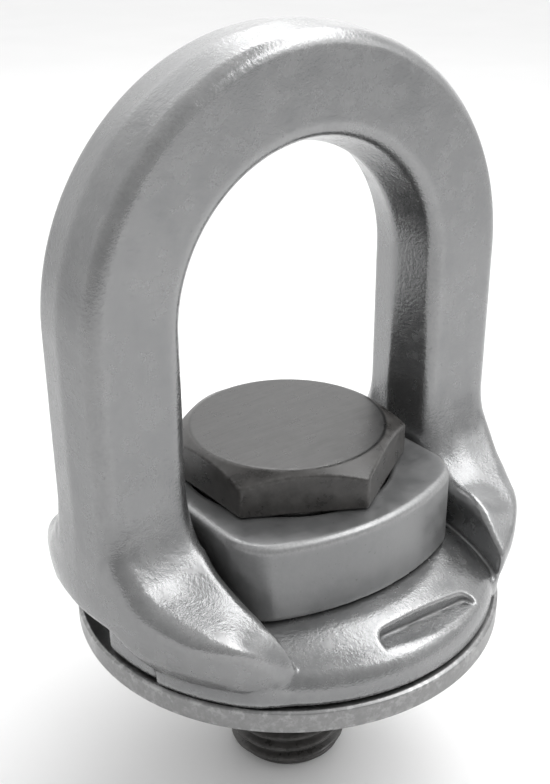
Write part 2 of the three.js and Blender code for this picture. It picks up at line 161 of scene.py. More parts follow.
COLLAR_SEAT_Z = 13.4
COLLAR_CROWN_R = 45.0
COLLAR_CORNER = 4.5
COLLAR_EDGE = 1.1
SPIGOT_R = 18.4
SPIGOT_BORE_R = 15.0
COUNTERBORE_R = 17.9
COUNTERBORE_Z = 17.35
COUNTERBORE_EDGE = 0.5
DISC_BORE_R = 12.8
DISC_RECESS_R = 14.6
DISC_RECESS_H = 2.0
DISC_CORNER = 0.35

# ---- rounded implicit solids: negative inside, millimetres ----


def rounded_max(a, b, radius):
    """What two solids share, with their common edge rounded."""
    corner = np.hypot(np.maximum(a + radius, 0), np.maximum(b + radius, 0))
    return np.minimum(np.maximum(a, b), -radius) + corner


def rounded_min(a, b, radius):
    """Two solids joined, with a fillet between them."""
    return -rounded_max(-a, -b, radius)


def through(heights, widths, z):
    """A smooth curve through a few points, here widths over heights, and its slope."""
    slopes = np.gradient(widths, heights)
    i = np.clip(np.searchsorted(heights, z) - 1, 0, len(heights) - 2)
    span = heights[i + 1] - heights[i]
    t = np.clip((z - heights[i]) / span, 0, 1)
    rise = widths[i + 1] - widths[i]
    start = slopes[i] * span
    end = slopes[i + 1] * span
    value = widths[i] + t * (start + t * (3 * rise - 2 * start - end + t * (start + end - 2 * rise)))
    slope = (start + t * (2 * (3 * rise - 2 * start - end) + t * 3 * (start + end - 2 * rise))) / span
    return value, slope


# height of a foot's top over the distance from its leg's middle plane: beside the collar's way, level
# or ramped on the turned side, and along the outer ridge
TOP_Y = np.array(
    [0.0, 6.0, 7.5, 9.0, 11.0, 13.3, 16.4, 20.0, 22.0, 23.6, 25.0, 26.4, 28.2, 32.0])
TOP_LEVEL_Z = np.array(
    [60.0, 38.0, 32.0, 27.0, 23.4, 21.4, 20.4, 20.2, 19.7, 18.8, 17.4, 15.8, 13.8, 9.5])
TOP_RAMP_Z = np.array(
    [60.0, 38.0, 31.6, 28.0, 25.5, 23.4, 21.2, 18.6, 17.2, 15.8, 13.9, 11.4, 7.4, -3.0])
TOP_OUTER_Z = np.array(
    [60.0, 37.0, 31.6, 28.6, 25.6, 22.8, 20.7, 19.0, 18.2, 17.4, 16.4, 15.0, 12.2, 3.0])

# the outer swell of the feet: height and radius
SWELL_Z = np.array([4.0, 6.4, 8.8, 11.8, 15.0, 22.0, 35.0, 60.0])
SWELL_R = np.array([36.9, 37.3, 39.0, 40.9, 41.7, 41.7, 40.4, 36.0])

# top of the base annulus: radius and height
DOME_R = np.array([0.0, 22.0, 25.0, 28.0, 31.0, 33.0, 35.0, 36.2, 60.0])
DOME_Z = np.array([13.1, 13.1, 13.1, 12.8, 11.8, 10.9, 9.6, 8.8, -10.0])


def bow_solid(x, y, z):
    """The bow and its legs: the forged section, swept over the arc and straight down."""
    over = np.where(z > BOW_Z, np.hypot(x, z - BOW_Z), np.abs(x)) - BOW_R
    across = np.abs(y)
    ridge = np.sqrt(y * y + RIDGE_ROUNDING ** 2) - RIDGE_ROUNDING
    outer = (over - OUTER_RISE) * math.cos(OUTER_DRAFT) + ridge * math.sin(OUTER_DRAFT)
    inner = (-over - INNER_RISE) * math.cos(INNER_DRAFT) + ridge * math.sin(INNER_DRAFT)
    body = rounded_max(across - HALF_THICKNESS, outer, OUTER_EDGE)
    return rounded_max(body, inner, INNER_EDGE)


def foot_solid(x, y, z):
    """Both feet: a round swell drawn in to the tips, under a hollow top that climbs to the leg."""
    turned_side = x * y > 0
    far = np.clip((np.abs(y) - FOOT_TURN_Y) / FOOT_TURN_SPAN, 0, 1)
    turn = np.where(turned_side, FOOT_TURN * far * far * (3 - 2 * far), 0)
    out = np.abs(x * np.cos(turn) + y * np.sin(turn))
    across = np.abs(y * np.cos(turn) - x * np.sin(turn))

    swell_r, swell_slope = through(SWELL_Z, SWELL_R, z)
    swell = (np.hypot(x, y) - swell_r) / np.hypot(1, swell_slope)
    flank = FLANK_NORMAL[0] * out + FLANK_NORMAL[1] * across - np.where(turned_side, *FLANK_REACH)
    outside = rounded_max(swell, flank, FLANK_CORNER)
    tip = TIP_NORMAL[0] * out + TIP_NORMAL[1] * across - np.where(turned_side, *TIP_REACH)
    outside = rounded_max(outside, tip, TIP_CORNER)

    blend = np.clip((out - FOOT_INNER_X) / RIDGE_OFFSET, 0, 1)
    blend = blend * blend * (3 - 2 * blend)
    level_z, level_slope = through(TOP_Y, TOP_LEVEL_Z, across)
    ramp_z, ramp_slope = through(TOP_Y, TOP_RAMP_Z, across)
    inner_z = np.where(turned_side, ramp_z, level_z)
    inner_slope = np.where(turned_side, ramp_slope, level_slope)
    outer_z, outer_slope = through(TOP_Y, TOP_OUTER_Z, across)
    top = z - inner_z * (1 - blend) - outer_z * blend
    top = top / np.hypot(1, inner_slope * (1 - blend) + outer_slope * blend)

    wall = FOOT_INNER_X + np.maximum(z - WAY_LEAN_Z, 0) * WAY_LEAN
    wall = wall - np.where(turned_side, TIP_LEAN, 0.0) * np.maximum(across - TIP_LEAN_Y, 0)
    sharp = np.clip((across - SHARP_Y) / SHARP_SPAN, 0, 1)
    foot = rounded_max(outside, top, TOP_EDGE - TOP_EDGE_LOSS * sharp)
    foot = rounded_max(foot, (wall - out) * WAY_LEAN_SCALE, WAY_EDGE - WAY_EDGE_LOSS * sharp)
    return np.maximum(foot, BASE_Z - z)


def base_solid(x, y, z):
    """The base annulus: nearly flat beside the collar, falling to a round shoulder at the rim."""
    r = np.hypot(x, y)
    dome_z, dome_slope = through(DOME_R, DOME_Z, r)
    dome = (z - dome_z) / np.hypot(1, dome_slope)
    return rounded_max(r - BASE_R, dome, BASE_SHOULDER)


def arch(across, z, half_width, top, corner):
    """An upright slot seen from the side, open downwards."""
    a = across - half_width + corner
    b = z - top + corner
    return np.hypot(np.maximum(a, 0), np.maximum(b, 0)) + np.minimum(np.maximum(a, b), 0) - corner


def eye_solid(x, y, z):
    """The whole forging, with its relief, notches and recess, and the room for the pieces under it."""
    r = np.hypot(x, y)
    out = np.abs(x)
    across = np.abs(y)
    legs = np.maximum(bow_solid(x, y, z), LEG_END_Z - z)
    feet = foot_solid(x, y, z)
    depth = np.clip(-np.maximum(r - FOOT_R, (out - FOOT_R) * 0.99) / LEG_FILLET_DEPTH, 0, 1)
    eye = rounded_min(legs, feet, FILLET + LEG_FILLET_GAIN * depth)
    near_rim = np.clip((r - RIM_FILLET_R) / RIM_FILLET_SPAN, 0, 1)
    low_rim = near_rim * np.clip((RIM_FILLET_Z - z) / RIM_FILLET_FALL, 0, 1)
    eye = rounded_min(eye, base_solid(x, y, z), FILLET + RIM_FILLET_GAIN * low_rim)
    underside = BASE_Z - STEP_H * np.clip((r - STEP_R) / STEP_H, 0, 1)
    eye = rounded_max(eye, underside - z, STEP_EDGE)

    relief = arch(across, z, RELIEF_HALF_WIDTH, RELIEF_TOP_Z, RELIEF_CORNER)
    relief = np.maximum(relief, RELIEF_R - r)
    beside = np.abs(y + NOTCH_Y * np.sign(x))
    notch = arch(beside, z, NOTCH_HALF_WIDTH, NOTCH_TOP_Z, NOTCH_CORNER)
    notch = np.maximum(notch, NOTCH_R - r)
    eye = rounded_max(eye, -np.minimum(relief, notch), RELIEF_EDGE)

    along = np.abs(x - RECESS_X) - RECESS_HALF_LENGTH
    recess = np.hypot(np.maximum(along, 0), y - RECESS_Y) - RECESS_END_R
    floor_z = RECESS_FLOOR_Z - RECESS_FLOOR_TILT * (x - RECESS_X)
    eye = rounded_max(eye, -np.maximum(recess, floor_z - z), MACHINED_EDGE)

    pocket = np.maximum(r - NUT_POCKET_R, z - NUT_POCKET_Z)
    glide = np.maximum(np.abs(r - GLIDE_GROOVE_R) - GLIDE_GROOVE_HALF, z - GLIDE_GROOVE_Z)
    seal = np.maximum(np.abs(r - SEAL_R) - SEAL_GROOVE_HALF, z - SEAL_GROOVE_Z)
    inside = np.minimum(np.minimum(pocket, glide), seal)
    bore = np.maximum(r - EYE_BORE_R, z - BORE_END_Z)
    return np.maximum(rounded_max(eye, -bore, MACHINED_EDGE), -inside)


def collar_solid(x, y, z):
    """The collar: two flats, two crowned faces, a spigot below and a counterbore for the bearing."""
    centre = COLLAR_CROWN_R - COLLAR_HIGH[1]
    flats = np.abs(x) - COLLAR_HIGH[0]
    crown = np.hypot(x, np.abs(y) + centre) - COLLAR_CROWN_R
    block = rounded_max(flats, crown, COLLAR_CORNER)
    block = rounded_max(block, z - COLLAR_HIGH[2], COLLAR_EDGE)
    block = rounded_max(block, COLLAR_SEAT_Z - z, MACHINED_EDGE)
    r = np.hypot(x, y)
    spigot = np.maximum(r - SPIGOT_R, np.maximum(COLLAR_LOW[2] - z, z - COLLAR_SEAT_Z - 1))
    block = np.minimum(block, rounded_max(spigot, COLLAR_LOW[2] - z, MACHINED_EDGE))
    block = rounded_max(block, SPIGOT_BORE_R - r, MACHINED_EDGE)
    counterbore = np.maximum(r - COUNTERBORE_R, COUNTERBORE_Z - z)
    return rounded_max(block, -counterbore, COUNTERBORE_EDGE)


# ---- from an implicit solid to a net of quads ----

PULLS = 3
PROBE_REACH = 0.05
PULL_LIMIT = 0.4


def surface_net(solid, low, high, step):
    """Quads on the surface of an implicit solid: one point per crossed cell, then pulled onto it."""
    axes = [np.arange(a - 2 * step, b + 3 * step, step) for a, b in zip(low, high)]
    field = solid(*np.meshgrid(*axes, indexing="ij")).astype(np.float32)
    inside = field < 0
    corners = list(itertools.product((0, 1), repeat=3))
    count = np.zeros([n - 1 for n in field.shape], np.int8)
    for i, j, k in corners:
        nx, ny, nz = count.shape
        count += inside[i:nx + i, j:ny + j, k:nz + k]
    cells = np.argwhere((count > 0) & (count < 8))
    total = np.zeros((len(cells), 3))
    crossings = np.zeros(len(cells))
    for a, b in itertools.combinations(corners, 2):
        if sum(abs(p - q) for p, q in zip(a, b)) != 1:
            continue
        at_a = field[tuple((cells + a).T)]
        at_b = field[tuple((cells + b).T)]
        crossed = (at_a < 0) != (at_b < 0)
        t = np.where(crossed, at_a / np.where(crossed, at_a - at_b, 1), 0)
        point = np.array(a) + t[:, None] * (np.array(b) - np.array(a))
        total += np.where(crossed[:, None], point, 0)
        crossings += crossed
    start = np.array([axis[0] for axis in axes])
    points = start + step * (cells + total / crossings[:, None])
    number = np.full(count.shape, -1, np.int64)
    number[tuple(cells.T)] = np.arange(len(cells))
    quads = []
    for axis in range(3):
        u, v = [(1, 2), (2, 0), (0, 1)][axis]
        ahead = [slice(None)] * 3
        behind = [slice(None)] * 3
        ahead[axis] = slice(1, None)
        behind[axis] = slice(None, -1)
        leaves = inside[tuple(behind)].astype(np.int8) - inside[tuple(ahead)].astype(np.int8)
        edges = np.argwhere(leaves != 0)
        unit_u = np.eye(3, dtype=int)[u]
        unit_v = np.eye(3, dtype=int)[v]
        ring = [edges - unit_u - unit_v, edges - unit_v, edges, edges - unit_u]
        ids = np.stack([number[tuple(cell.T)] for cell in ring], axis=1)
        outwards = leaves[tuple(edges.T)] > 0
        quads.append(np.where(outwards[:, None], ids, ids[:, ::-1]))
    for _ in range(PULLS):
        value, slope = value_and_slope(solid, points, PROBE_REACH)
        move = value[:, None] * slope / np.maximum((slope ** 2).sum(1), 0.25)[:, None]
        length = np.linalg.norm(move, axis=1, keepdims=True)
        points -= move * np.minimum(1, PULL_LIMIT * step / np.maximum(length, 1e-9))
    return points, np.concatenate(quads)


def value_and_slope(solid, points, reach):
    """The solid's value at the points, and its slope there along the three axes."""
    value = solid(*points.T)
    slope = np.empty_like(points)
    for axis in range(3):
        shift = np.zeros(3)
        shift[axis] = reach
        slope[:, axis] = (solid(*(points + shift).T) - solid(*(points - shift).T)) / (2 * reach)
    return value, slope


# ---- meshes ----

# gain from surface bend to the edge mark (wear and painted highlight) and the hollow mark (painted
# shade), and where the painted shade starts
CURVATURE_GAIN = 3.0
HOLLOW_SHADE_START = 0.45


def new_object(name, points_mm, faces):
    """A smooth shaded piece in the scene, with its convex and hollow places marked for lightened edges
    (wear and painted highlight) and painted shade in hollows.
    """
    mesh = bpy.data.meshes.new(name)
    mesh.from_pydata((np.asarray(points_mm) * MM).tolist(), [], [list(f) for f in faces])
    mesh.validate()
    mesh.shade_smooth()
    piece = bpy.data.objects.new(name, mesh)
    bpy.context.scene.collection.objects.link(piece)
    mark_edges(mesh)
    return piece


def mark_edges(mesh):
    """Stores how convex ("edge") and how hollow ("hollow") the surface is at each vertex."""
    n = len(mesh.vertices)
    place = np.empty(n * 3)
    mesh.vertices.foreach_get("co", place)
    place = place.reshape(n, 3) / MM
    normal = np.empty(n * 3)
    mesh.vertex_normals.foreach_get("vector", normal)
    normal = normal.reshape(n, 3)
    ends = np.empty(len(mesh.edges) * 2, np.int64)
    mesh.edges.foreach_get("vertices", ends)
    a, b = ends.reshape(-1, 2).T
    along = place[b] - place[a]
    length = np.maximum((along ** 2).sum(1), 1e-6)
    bend = np.zeros(n)
    weight = np.zeros(n)
    for here, sign in ((a, -2.0), (b, 2.0)):
        np.add.at(bend, here, sign * (normal[here] * along).sum(1) / length)
        np.add.at(weight, here, 1)
    bend /= np.maximum(weight, 1)
    for _ in range(3):
        spread = np.zeros(n)
        np.add.at(spread, a, bend[b])
        np.add.at(spread, b, bend[a])
        bend = 0.5 * bend + 0.5 * spread / np.maximum(weight, 1)
    # edge feeds the lightened edges (wear and painted highlight), hollow feeds the painted shade in
    # hollows
    for name, values in (("edge", bend * CURVATURE_GAIN), ("hollow", -bend * CURVATURE_GAIN - HOLLOW_SHADE_START)):
        layer = mesh.attributes.new(name, "FLOAT", "POINT")
        layer.data.foreach_set("value", np.clip(values, 0, 1).astype(np.float32))


def forged(name, solid, low, high, step):
    """A piece from an implicit solid, looked for between two corners on a grid of the given step."""
    points, quads = surface_net(solid, low, high, step)
    return new_object(name, points, quads)


def turned(name, profile, segments):
    """A closed outline of [radius, height] points turned about the swivel axis."""
    profile = np.asarray(profile, float)
    angles = np.arange(segments) * TURN / segments
    around = np.stack([np.cos(angles), np.sin(angles)], axis=1)
    n = len(profile)
    points = [(r * c, r * s, z) for c, s in around for r, z in profile]
    faces = []
    for i in range(segments):
        j = (i + 1) % segments
        for k in range(n):
            m = (k + 1) % n
            faces.append((i * n + k, j * n + k, j * n + m, i * n + m))
    r, z = profile.T
    area = np.sum(r * np.roll(z, -1) - np.roll(r, -1) * z)
    if area < 0:
        faces = [f[::-1] for f in faces]
    return new_object(name, points, faces)


def softened(corners, radius, steps):
    """An outline with each corner turned into a small arc, and a point close on each side of it."""
    corners = [np.array(c, float) for c in corners]
    outline = []
    for i, corner in enumerate(corners):
        before = corners[i - 1] - corner
        after = corners[(i + 1) % len(corners)] - corner
        reach = min(radius, 0.3 * np.linalg.norm(before), 0.3 * np.linalg.norm(after))
        before /= np.linalg.norm(before)
        after /= np.linalg.norm(after)
        start = corner + before * reach
        end = corner + after * reach
        outline.append(corner + before * reach * 1.5)
        for t in np.linspace(0, 1, steps + 1):
            outline.append((1 - t) ** 2 * start + 2 * t * (1 - t) * corner + t ** 2 * end)
        outline.append(corner + after * reach * 1.5)
    return outline


def band(inner, outer, bottom, top):
    """Outline of a plain ring."""
    return [(inner, bottom), (outer, bottom), (outer, top), (inner, top)]


# ---- the bolt ----

THREAD_R = 11.0
THREAD_ROOT_R = 9.5
THREAD_PITCH = 2.5
THREAD_TOP_Z = -0.6
THREAD_SEGMENTS = 96
ROWS_PER_PITCH = 12
HEAD_Z = 27.3
HEAD_ACROSS_FLATS = 36.0
HEAD_FACE_R = 16.85
HEAD_TURN = math.radians(1)
HEAD_REACH = 21.0
KEEPER_Z = 12.6
KEEPER_H = 1.6
KEEPER_GROOVE_DEPTH = 0.9


def head_solid(x, y, z):
    """The hexagon with its corners chamfered by a 30 degree cone, flat underneath."""
    prism = np.full(np.broadcast(x, y, z).shape, -1e3)
    for i in range(6):
        angle = HEAD_TURN + i * TURN / 6
        flat = x * math.cos(angle) + y * math.sin(angle) - HEAD_ACROSS_FLATS / 2
        prism = rounded_max(prism, flat, 0.25)
    cone = (z - BOLT_HIGH[2]) * math.cos(TURN / 12) + (np.hypot(x, y) - HEAD_FACE_R) * 0.5
    head = rounded_max(prism, cone, 0.2)
    head = rounded_max(head, z - BOLT_HIGH[2], 0.2)
    return rounded_max(head, HEAD_Z - z, 0.3)


def thread_depth(turn_part):
    """Depth of the thread under its crest, over one pitch: flat crest, 30 degree flanks, flat root."""
    from_crest = np.abs((turn_part + 0.5) % 1.0 - 0.5) * THREAD_PITCH
    flank = (from_crest - THREAD_PITCH / 16) / math.tan(math.radians(30))
    return np.clip(flank, 0, THREAD_R - THREAD_ROOT_R)


def bolt_shank():
    """The shank and its helical thread as one closed skin; the thread fades in below the shank."""
    segments = THREAD_SEGMENTS
    groove_r = THREAD_R - KEEPER_GROOVE_DEPTH
    profile = [
        (HEAD_Z + 0.5, THREAD_R),
        (KEEPER_Z + KEEPER_H / 2 + 0.3, THREAD_R),
        (KEEPER_Z + KEEPER_H / 2 + 0.2, groove_r),
        (KEEPER_Z - KEEPER_H / 2 - 0.2, groove_r),
        (KEEPER_Z - KEEPER_H / 2 - 0.3, THREAD_R),
        (THREAD_TOP_Z + 0.3, THREAD_R),
    ]
    rows = int((THREAD_TOP_Z - BOLT_LOW[2]) / THREAD_PITCH * ROWS_PER_PITCH)
    profile += [(z, THREAD_R) for z in np.linspace(THREAD_TOP_Z, BOLT_LOW[2], rows)]
    heights = np.array([z for z, _ in profile])
    radii = np.array([r for _, r in profile])
    angles = np.arange(segments) * TURN / segments
    points = []
    for z, r in zip(heights, radii):
        entry = np.clip((THREAD_TOP_Z - z) / THREAD_PITCH, 0, 1)
        depth = thread_depth(z / THREAD_PITCH - angles / TURN) * entry
        chamfer_r = THREAD_ROOT_R + (z - BOLT_LOW[2])
        point_r = np.minimum(r - depth, chamfer_r)
        points += list(zip(point_r * np.cos(angles), point_r * np.sin(angles), np.full(segments, z)))
    faces = []
    for here in range(0, (len(profile) - 1) * segments, segments):
        below = here + segments
        for i in range(segments):
            j = (i + 1) % segments
            faces.append((here + i, below + i, below + j, here + j))
    top = len(points)
    points += [(0, 0, heights[0]), (0, 0, BOLT_LOW[2])]
    last = (len(profile) - 1) * segments
    for i in range(segments):
        j = (i + 1) % segments
        faces.append((top, i, j))
        faces.append((top + 1, last + j, last + i))
    return new_object("bolt_shank", points, faces)


# ---- the pieces inside ----

BALL_PITCH_R = 15.6
BALL_Z = 20.6
BALL_COUNT = 18
RACE_GROOVE_R = 1.65
RACE_FACE_GAP = 1.15
CAGE_HALF_WIDTH = 2.2
CAGE_H = 1.6
POCKET_R = 1.74
NUT_R = 23.2
NUT_BORE_R = 18.45
NUT_SLOTS = 6
NUT_SLOT_HALF_WIDTH = 1.6
NUT_SLOT_R = 20.9
NUT_SLOT_DEPTH = 1.5
SEAL_SECTION_R = 0.79

# inner radius, outer radius and height of the back of the two bearing washers
UPPER_RACE = (13.05, 17.3, 24.25)
LOWER_RACE = (13.4, 17.85, 17.35)

# inner radius, outer radius, bottom and top of the plain rings
LINER = (13.05, 14.95, 5.3, 17.3)
GLIDE_RING = (25.1, 29.1, 4.0, 5.95)

# inner and outer radius of the split rings
SNAP_RING = (12.1, 14.0)
KEEPER_RING = (10.25, 11.95)

BUSH_BORE_R = 11.3
BUSH_LOW_Z = 0.3
BUSH_DISC_R = 12.6
BUSH_STEP_Z = 4.0
BUSH_R = 13.0
BUSH_FLANGE_R = 17.3
BUSH_TOP_Z = 27.2
SNAP_GROOVE_R = 12.0
KEEPER_ROOM_R = 12.2
KEEPER_ROOM_Z = (11.2, 14.0)


def race_outline(inner, outer, back, side):
    """A bearing washer with its ball groove; side is 1 above the balls and -1 below them."""
    face = BALL_Z + side * RACE_FACE_GAP
    start = math.asin(RACE_FACE_GAP / RACE_GROOVE_R)
    outline = [(inner, back), (inner, face)]
    for angle in np.linspace(math.pi - start, start, 9):
        outline.append((BALL_PITCH_R + RACE_GROOVE_R * math.cos(angle),
                        BALL_Z + side * RACE_GROOVE_R * math.sin(angle)))
    return outline + [(outer, face), (outer, back)]


def each_way(x, y, count):
    """The plane folded onto one of several equal sectors: distance out along its middle, and across."""
    r = np.hypot(x, y)
    pitch = TURN / count
    turned_by = (np.arctan2(y, x) + pitch / 2) % pitch - pitch / 2
    return r * np.cos(turned_by), r * np.sin(turned_by)


def square_ring(x, y, z, inner, outer, low, high, corner):
    """A ring of rectangular section with rounded corners."""
    beside = np.abs(np.hypot(x, y) - (inner + outer) / 2) - (outer - inner) / 2
    return rounded_max(beside, np.abs(z - (low + high) / 2) - (high - low) / 2, corner)


def cage_solid(x, y, z):
    """The cage: a flat ring with one round pocket for each ball."""
    out, across = each_way(x, y, BALL_COUNT)
    r = np.hypot(x, y)
    body = rounded_max(np.abs(r - BALL_PITCH_R) - CAGE_HALF_WIDTH, np.abs(z - BALL_Z) - CAGE_H / 2, 0.2)
    return rounded_max(body, POCKET_R - np.hypot(out - BALL_PITCH_R, across), 0.15)


def nut_solid(x, y, z):
    """The ring nut, with wrench slots in its underside."""
    r = np.hypot(x, y)
    middle = (NUT_LOW[2] + NUT_HIGH[2]) / 2
    body = rounded_max(np.abs(z - middle) - (NUT_HIGH[2] - NUT_LOW[2]) / 2, r - NUT_R, 0.4)
    body = rounded_max(body, NUT_BORE_R - r, 0.3)
    across = each_way(x, y, NUT_SLOTS)[1]
    slot = np.maximum(NUT_SLOT_R - r, z - NUT_LOW[2] - NUT_SLOT_DEPTH)
    slot = np.maximum(np.abs(across) - NUT_SLOT_HALF_WIDTH, slot)
    return rounded_max(body, -slot, 0.25)


def split_ring(inner, outer, low, high, half_gap, corner):
    """A ring of wire or plate with a gap in it, on the -Y side."""
    def solid(x, y, z):
        body = square_ring(x, y, z, inner, outer, low, high, corner)
        gap = np.maximum(np.abs(x) - half_gap, y)
        return rounded_max(body, -gap, corner)
    return solid


def bush_outline():
    """The flanged bush: snap ring groove at its lower end, room for the keeper ring in its bore."""
    return [
        (BUSH_BORE_R, BUSH_LOW_Z), (12.3, BUSH_LOW_Z), (BUSH_DISC_R, 0.6), (BUSH_DISC_R, 0.7),
        (SNAP_GROOVE_R, 0.75), (SNAP_GROOVE_R, 1.8), (BUSH_DISC_R, 1.85),
        (BUSH_DISC_R, BUSH_STEP_Z), (BUSH_R, BUSH_STEP_Z), (BUSH_R, 24.25), (BUSH_FLANGE_R, 24.3),
        (BUSH_FLANGE_R, BUSH_TOP_Z), (BUSH_BORE_R, BUSH_TOP_Z),
        (BUSH_BORE_R, KEEPER_ROOM_Z[1]), (KEEPER_ROOM_R, KEEPER_ROOM_Z[1]),
        (KEEPER_ROOM_R, KEEPER_ROOM_Z[0]), (BUSH_BORE_R, KEEPER_ROOM_Z[0]),
    ]


def bearing_ball(name, node):
    """A fine sphere at the place and of the size of a CAD ball."""
    low, high = box_mm(node)
    ball = bmesh.new()
    bmesh.ops.create_icosphere(ball, subdivisions=3, radius=(high[2] - low[2]) / 2)
    centre = (low + high) / 2
    points = [tuple(np.array(v.co) + centre) for v in ball.verts]
    faces = [[v.index for v in f.verts] for f in ball.faces]
    ball.free()
    return new_object(name, points, faces)


# ---- materials ----


class Nodes:
    """Short words for building a node tree."""

    def __init__(self, name):
        self.material = bpy.data.materials.new(name)
        self.material.use_nodes = True
        self.tree = self.material.node_tree
        self.tree.nodes.clear()
        self.place = self.add("ShaderNodeTexCoord").outputs["Object"]

    def add(self, kind, **settings):
        node = self.tree.nodes.new(kind)
        for key, value in settings.items():
            setattr(node, key, value)
        return node

    def put(self, socket, value):
        if isinstance(value, bpy.types.NodeSocket):
            self.tree.links.new(value, socket)
        else:
            socket.default_value = value

    def noise(self, size_mm, detail=3.0, roughness=0.55, place=None):
        """Noise whose patches are about size_mm across."""
        node = self.add("ShaderNodeTexNoise")
        self.put(node.inputs["Vector"], place or self.place)
        self.put(node.inputs["Scale"], 1 / (size_mm * MM))
        self.put(node.inputs["Detail"], detail)
        self.put(node.inputs["Roughness"], roughness)
        return node.outputs["Fac"]

    def stretched(self, scale, rotation=(0, 0, 0)):
        node = self.add("ShaderNodeMapping")
        self.put(node.inputs["Vector"], self.place)
        self.put(node.inputs["Scale"], scale)
        self.put(node.inputs["Rotation"], rotation)
        return node.outputs["Vector"]

    def math(self, operation, a, b=0.0, clamp=False):
        node = self.add("ShaderNodeMath", operation=operation, use_clamp=clamp)
        self.put(node.inputs[0], a)
        self.put(node.inputs[1], b)
        return node.outputs[0]

    def ramp(self, value, low, high, from_low=0.0, from_high=1.0):
        node = self.add("ShaderNodeMapRange", clamp=True)
        self.put(node.inputs["Value"], value)
        self.put(node.inputs["From Min"], from_low)
        self.put(node.inputs["From Max"], from_high)
        self.put(node.inputs["To Min"], low)
        self.put(node.inputs["To Max"], high)
        return node.outputs["Result"]

    def mix(self, factor, a, b):
        node = self.add("ShaderNodeMix", data_type="RGBA")
        self.put(node.inputs[0], factor)
        self.put(node.inputs[6], a)
        self.put(node.inputs[7], b)
        return node.outputs[2]

    def attribute(self, name):
        return self.add("ShaderNodeAttribute", attribute_name=name).outputs["Fac"]

    def bump(self, height, depth_mm, under=None):
        node = self.add("ShaderNodeBump")
        self.put(node.inputs["Height"], height)
        self.put(node.inputs["Distance"], depth_mm * MM)
        if under is not None:
            self.put(node.inputs["Normal"], under)
        return node.outputs["Normal"]

    def surface(self, colour, metallic, roughness, normal=None, **more):
        shader = self.add("ShaderNodeBsdfPrincipled")
        self.put(shader.inputs["Base Color"], colour)
        self.put(shader.inputs["Metallic"], metallic)
        self.put(shader.inputs["Roughness"], roughness)
        if normal is not None:
            self.put(shader.inputs["Normal"], normal)
        for key, value in more.items():
            self.put(shader.inputs[key.replace("_", " ")], value)
        output = self.add("ShaderNodeOutputMaterial")
        self.tree.links.new(shader.outputs["BSDF"], output.inputs["Surface"])
        return self.material


def grey(value, warmth=0.0):
    """A grey, warmer above zero and cooler below it."""
    return (value * (1 + warmth), value, value * (1 - warmth), 1.0)


def forged_metal(name, tone, grain_depth, gloss, metallic):
    """Shot-blasted and coated forging: mottled satin grey, fine dimples, convex edges lightened partly
    as wear and partly as a painted highlight, hollows darkened with painted shade.
    """
    n = Nodes(name)
    broad = n.noise(22, 2.0)
    patch = n.noise(3.2, 4.0, 0.6)
    grain = n.noise(0.55, 3.0, 0.65)
    dimples = n.noise(1.6, 2.0, 0.5)
    mottled = n.math("ADD", n.math("MULTIPLY", broad, 0.45), n.math("MULTIPLY", patch, 0.55))
    dark = grey(tone * 0.90, -0.012)
    light = grey(tone * 1.09, -0.006)
    colour = n.mix(n.ramp(mottled, 0, 1, 0.36, 0.64), dark, light)
    pits = n.ramp(n.noise(0.9, 2.0, 0.7), 0, 1, 0.66, 0.76)
    colour = n.mix(n.math("MULTIPLY", pits, 0.45), colour, grey(tone * 0.45))
    # convex edges made lighter and smoother in patches: partly edge wear, partly a painted highlight
    wear_and_highlight = n.math("MULTIPLY", n.attribute("edge"), n.ramp(grain, 0.3, 1.0, 0.35, 0.6), clamp=True)
    colour = n.mix(n.math("MULTIPLY", wear_and_highlight, 0.5), colour, grey(min(1.0, tone * 1.5)))
    # painted shade: the hollows are darkened (and made rougher) where shade falls
    hollow_shade = n.math("MULTIPLY", n.attribute("hollow"), n.ramp(patch, 0.5, 1.0, 0.4, 0.6), clamp=True)
    colour = n.mix(n.math("MULTIPLY", hollow_shade, 0.55), colour, grey(tone * 0.42, 0.01))
    rough = n.ramp(patch, gloss - 0.04, gloss + 0.09, 0.35, 0.65)
    rough = n.math("ADD", rough, n.math("MULTIPLY", hollow_shade, 0.2))
    rough = n.math("SUBTRACT", rough, n.math("MULTIPLY", wear_and_highlight, 0.06))
    normal = n.bump(dimples, 0.035)
    normal = n.bump(grain, grain_depth, normal)
    return n.surface(colour, metallic, rough, normal)


def disc_metal():
    """Coated plate: satin grey, speckled, with lighter nicks on its edges that are partly wear and
    partly a painted highlight.
    """
    n = Nodes("coated_disc")
    patch = n.noise(4, 4.0, 0.6)
    grain = n.noise(0.5, 3.0, 0.6)
    speckle = n.noise(0.7, 2.0, 0.6)
    colour = n.mix(n.ramp(patch, 0, 1, 0.35, 0.65), grey(0.228), grey(0.245))
    colour = n.mix(n.ramp(speckle, 0.0, 0.5, 0.4, 0.7), colour, grey(0.30))
    nicks = n.ramp(n.noise(1.6, 3.0, 0.7), 0, 1, 0.50, 0.62)
    # lighter nicks on convex edges: partly wear, partly a painted highlight
    wear_and_highlight = n.math("MULTIPLY", n.attribute("edge"), nicks, clamp=True)
    colour = n.mix(n.math("MULTIPLY", wear_and_highlight, 0.6), colour, grey(0.45))
    normal = n.bump(n.noise(1.8, 2.0), 0.02)
    normal = n.bump(grain, 0.014, normal)
    return n.surface(colour, 1.0, n.ramp(patch, 0.30, 0.42, 0.35, 0.65), normal)


